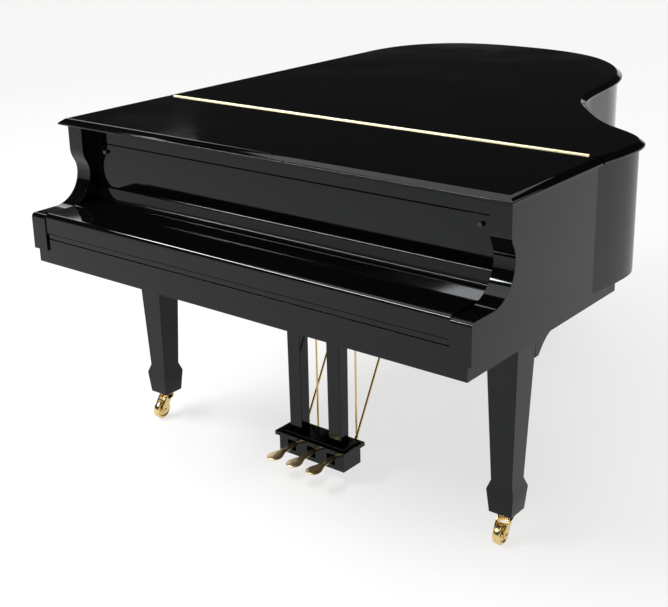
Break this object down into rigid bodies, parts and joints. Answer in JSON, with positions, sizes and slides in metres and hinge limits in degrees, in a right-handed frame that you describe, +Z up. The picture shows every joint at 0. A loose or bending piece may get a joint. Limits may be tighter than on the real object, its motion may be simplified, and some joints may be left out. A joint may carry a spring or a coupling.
{
  "type": "grand piano",
  "caption": "Black lacquered grand piano with curved case, folding lid, fallboard over the keyboard, sliding music desk, pedal lyre and caster legs.",
  "frame": {"origin": "middle of the footprint, on the floor under the casters", "axes": "+Y from the keyboard to the tail, +X to the treble side, +Z up"},
  "size_m": [1.5202, 2.026, 0.9988],
  "materials": {
    "black_lacquer": "polished black lacquer",
    "raw_wood": "satin maple and beech",
    "spruce": "satin varnished spruce",
    "bridge_wood": "satin maple",
    "gold_iron": "gold paint on cast iron",
    "steel_wire": "bright drawn wire",
    "rubber": "matte pale rubber",
    "felt": "dense felt",
    "brass": "polished brass",
    "white_key": "gloss ivory white",
    "black_key": "satin black"
  },
  "bodies": {
    "case": {"rim": "black_lacquer", "keybed": "black_lacquer", "bracing": "raw_wood", "soundboard": "spruce", "bridges": "bridge_wood", "plate": "gold_iron", "pin_block": "raw_wood", "strings": "steel_wire", "tuning_pins": "steel_wire", "stretcher": "black_lacquer", "name_board": "black_lacquer", "bumpers": "rubber", "key_slip": "black_lacquer", "cheek_blocks": "black_lacquer", "lid_hinge_rim": "brass", "lid_prop": "black_lacquer", "desk_rails": "raw_wood", "leg_left": "black_lacquer", "leg_right": "black_lacquer", "leg_rear": "black_lacquer", "leg_brackets": "black_lacquer", "lyre_head": "black_lacquer", "lyre_posts": "black_lacquer", "lyre_box": "black_lacquer", "lyre_braces": "brass"},
    "action_frame": {"key_frame": "raw_wood", "action": "raw_wood"},
    "dampers": {"dampers": "felt"},
    "fallboard": {"fallboard": "black_lacquer"},
    "lid": {"lid_main": "black_lacquer", "flap_hinge_main": "brass", "lid_hinge_lid": "brass"},
    "flap": {"lid_flap": "black_lacquer", "flap_hinge_flap": "brass"},
    "desk_tray": {"desk_tray": "black_lacquer"},
    "desk_panel": {"desk_panel": "black_lacquer"},
    "keys_c": {"keys_c": "white_key"},
    "keys_c_sharp": {"keys_c_sharp": "black_key"},
    "keys_d": {"keys_d": "white_key"},
    "keys_d_sharp": {"keys_d_sharp": "black_key"},
    "keys_e": {"keys_e": "white_key"},
    "keys_f": {"keys_f": "white_key"},
    "keys_f_sharp": {"keys_f_sharp": "black_key"},
    "keys_g": {"keys_g": "white_key"},
    "keys_g_sharp": {"keys_g_sharp": "black_key"},
    "keys_a": {"keys_a": "white_key"},
    "keys_a_sharp": {"keys_a_sharp": "black_key"},
    "keys_b": {"keys_b": "white_key"},
    "pedal_left": {"pedal_left": "brass"},
    "pedal_rod_left": {"pedal_rod_left": "brass"},
    "pedal_middle": {"pedal_middle": "brass"},
    "pedal_rod_middle": {"pedal_rod_middle": "brass"},
    "pedal_right": {"pedal_right": "brass"},
    "pedal_rod_right": {"pedal_rod_right": "brass"},
    "caster_fork_left": {"caster_fork_left": "brass"},
    "caster_wheel_left": {"caster_wheel_left": "brass"},
    "caster_fork_right": {"caster_fork_right": "brass"},
    "caster_wheel_right": {"caster_wheel_right": "brass"},
    "caster_fork_rear": {"caster_fork_rear": "brass"},
    "caster_wheel_rear": {"caster_wheel_rear": "brass"}
  },
  "joints": [
    {"name": "lid_swing", "type": "hinge", "parent": "case", "child": "lid", "pos_m": [-0.74932, -0.01302, 0.9727], "axis": [0, -1, 0], "range_deg": [0, 38]},
    {"name": "flap_fold", "type": "hinge", "parent": "lid", "child": "flap", "pos_m": [-0.00532, -0.44901, 0.9953], "axis": [-1, 0, 0], "range_deg": [0, 180]},
    {"name": "fallboard_swing", "type": "hinge", "parent": "case", "child": "fallboard", "pos_m": [-0.00532, -0.83001, 0.744], "axis": [-1, 0, 0], "range_deg": [0, 92]},
    {"name": "desk_slide", "type": "slide", "parent": "case", "child": "desk_tray", "axis": [0, 1, 0], "range_m": [0, 0.06]},
    {"name": "desk_tilt", "type": "hinge", "parent": "desk_tray", "child": "desk_panel", "pos_m": [-0.00532, -0.76201, 0.9396], "axis": [1, 0, 0], "range_deg": [0, 69]},
    {"name": "frame_shift", "type": "slide", "parent": "case", "child": "action_frame", "axis": [1, 0, 0], "range_m": [0, 0.0026]},
    {"name": "damper_lift", "type": "slide", "parent": "case", "child": "dampers", "axis": [0, 0, 1], "range_m": [0, 0.0042]},
    {"name": "press_c", "type": "hinge", "parent": "action_frame", "child": "keys_c", "pos_m": [-0.00532, -0.76802, 0.696], "axis": [1, 0, 0], "range_deg": [0, 2.4], "stiffness_Nm_per_rad": 20, "springref_deg": -3.44},
    {"name": "press_c_sharp", "type": "hinge", "parent": "action_frame", "child": "keys_c_sharp", "pos_m": [-0.00532, -0.76802, 0.696], "axis": [1, 0, 0], "range_deg": [0, 2.4], "stiffness_Nm_per_rad": 20, "springref_deg": -3.44},
    {"name": "press_d", "type": "hinge", "parent": "action_frame", "child": "keys_d", "pos_m": [-0.00532, -0.76802, 0.696], "axis": [1, 0, 0], "range_deg": [0, 2.4], "stiffness_Nm_per_rad": 20, "springref_deg": -3.44},
    {"name": "press_d_sharp", "type": "hinge", "parent": "action_frame", "child": "keys_d_sharp", "pos_m": [-0.00532, -0.76802, 0.696], "axis": [1, 0, 0], "range_deg": [0, 2.4], "stiffness_Nm_per_rad": 20, "springref_deg": -3.44},
    {"name": "press_e", "type": "hinge", "parent": "action_frame", "child": "keys_e", "pos_m": [-0.00532, -0.76802, 0.696], "axis": [1, 0, 0], "range_deg": [0, 2.4], "stiffness_Nm_per_rad": 20, "springref_deg": -3.44},
    {"name": "press_f", "type": "hinge", "parent": "action_frame", "child": "keys_f", "pos_m": [-0.00532, -0.76802, 0.696], "axis": [1, 0, 0], "range_deg": [0, 2.4], "stiffness_Nm_per_rad": 20, "springref_deg": -3.44},
    {"name": "press_f_sharp", "type": "hinge", "parent": "action_frame", "child": "keys_f_sharp", "pos_m": [-0.00532, -0.76802, 0.696], "axis": [1, 0, 0], "range_deg": [0, 2.4], "stiffness_Nm_per_rad": 20, "springref_deg": -3.44},
    {"name": "press_g", "type": "hinge", "parent": "action_frame", "child": "keys_g", "pos_m": [-0.00532, -0.76802, 0.696], "axis": [1, 0, 0], "range_deg": [0, 2.4], "stiffness_Nm_per_rad": 20, "springref_deg": -3.44},
    {"name": "press_g_sharp", "type": "hinge", "parent": "action_frame", "child": "keys_g_sharp", "pos_m": [-0.00532, -0.76802, 0.696], "axis": [1, 0, 0], "range_deg": [0, 2.4], "stiffness_Nm_per_rad": 20, "springref_deg": -3.44},
    {"name": "press_a", "type": "hinge", "parent": "action_frame", "child": "keys_a", "pos_m": [-0.00532, -0.76802, 0.696], "axis": [1, 0, 0], "range_deg": [0, 2.4], "stiffness_Nm_per_rad": 20, "springref_deg": -3.44},
    {"name": "press_a_sharp", "type": "hinge", "parent": "action_frame", "child": "keys_a_sharp", "pos_m": [-0.00532, -0.76802, 0.696], "axis": [1, 0, 0], "range_deg": [0, 2.4], "stiffness_Nm_per_rad": 20, "springref_deg": -3.44},
    {"name": "press_b", "type": "hinge", "parent": "action_frame", "child": "keys_b", "pos_m": [-0.00532, -0.76802, 0.696], "axis": [1, 0, 0], "range_deg": [0, 2.4], "stiffness_Nm_per_rad": 20, "springref_deg": -3.44},
    {"name": "pedal_left_press", "type": "hinge", "parent": "case", "child": "pedal_left", "pos_m": [-0.07732, -0.61601, 0.07], "axis": [1, 0, 0], "range_deg": [0, 5], "stiffness_Nm_per_rad": 40, "springref_deg": -8.59},
    {"name": "pedal_rod_left_rise", "type": "slide", "parent": "case", "child": "pedal_rod_left", "axis": [0, 0, 1], "range_m": [0, 0.0055]},
    {"name": "pedal_middle_press", "type": "hinge", "parent": "case", "child": "pedal_middle", "pos_m": [-0.00532, -0.61601, 0.07], "axis": [1, 0, 0], "range_deg": [0, 5], "stiffness_Nm_per_rad": 40, "springref_deg": -8.59},
    {"name": "pedal_rod_middle_rise", "type": "slide", "parent": "case", "child": "pedal_rod_middle", "axis": [0, 0, 1], "range_m": [0, 0.0055]},
    {"name": "pedal_right_press", "type": "hinge", "parent": "case", "child": "pedal_right", "pos_m": [0.06668, -0.61601, 0.07], "axis": [1, 0, 0], "range_deg": [0, 5], "stiffness_Nm_per_rad": 40, "springref_deg": -8.59},
    {"name": "pedal_rod_right_rise", "type": "slide", "parent": "case", "child": "pedal_rod_right", "axis": [0, 0, 1], "range_m": [0, 0.0055]},
    {"name": "caster_swivel_left", "type": "hinge", "parent": "case", "child": "caster_fork_left", "pos_m": [-0.63132, -0.64702, 0.086], "axis": [0, 0, 1], "continuous": true},
    {"name": "caster_roll_left", "type": "hinge", "parent": "caster_fork_left", "child": "caster_wheel_left", "pos_m": [-0.63132, -0.67302, 0.029], "axis": [1, 0, 0], "continuous": true},
    {"name": "caster_swivel_right", "type": "hinge", "parent": "case", "child": "caster_fork_right", "pos_m": [0.62068, -0.64702, 0.086], "axis": [0, 0, 1], "continuous": true},
    {"name": "caster_roll_right", "type": "hinge", "parent": "caster_fork_right", "child": "caster_wheel_right", "pos_m": [0.62068, -0.67302, 0.029], "axis": [1, 0, 0], "continuous": true},
    {"name": "caster_swivel_rear", "type": "hinge", "parent": "case", "child": "caster_fork_rear", "pos_m": [-0.26728, 0.64689, 0.086], "axis": [0, 0, 1], "continuous": true},
    {"name": "caster_roll_rear", "type": "hinge", "parent": "caster_fork_rear", "child": "caster_wheel_rear", "pos_m": [-0.26728, 0.62089, 0.029], "axis": [1, 0, 0], "continuous": true}
  ],
  "couplings": [
    {"joint": "desk_tilt", "follows": "flap_fold", "ratio": 0.38},
    {"joint": "frame_shift", "follows": "pedal_left_press", "m_per_rad": 0.0286},
    {"joint": "damper_lift", "follows": "pedal_right_press", "m_per_rad": 0.046},
    {"joint": "pedal_rod_left_rise", "follows": "pedal_left_press", "m_per_rad": 0.058},
    {"joint": "pedal_rod_middle_rise", "follows": "pedal_middle_press", "m_per_rad": 0.058},
    {"joint": "pedal_rod_right_rise", "follows": "pedal_right_press", "m_per_rad": 0.058}
  ]
}
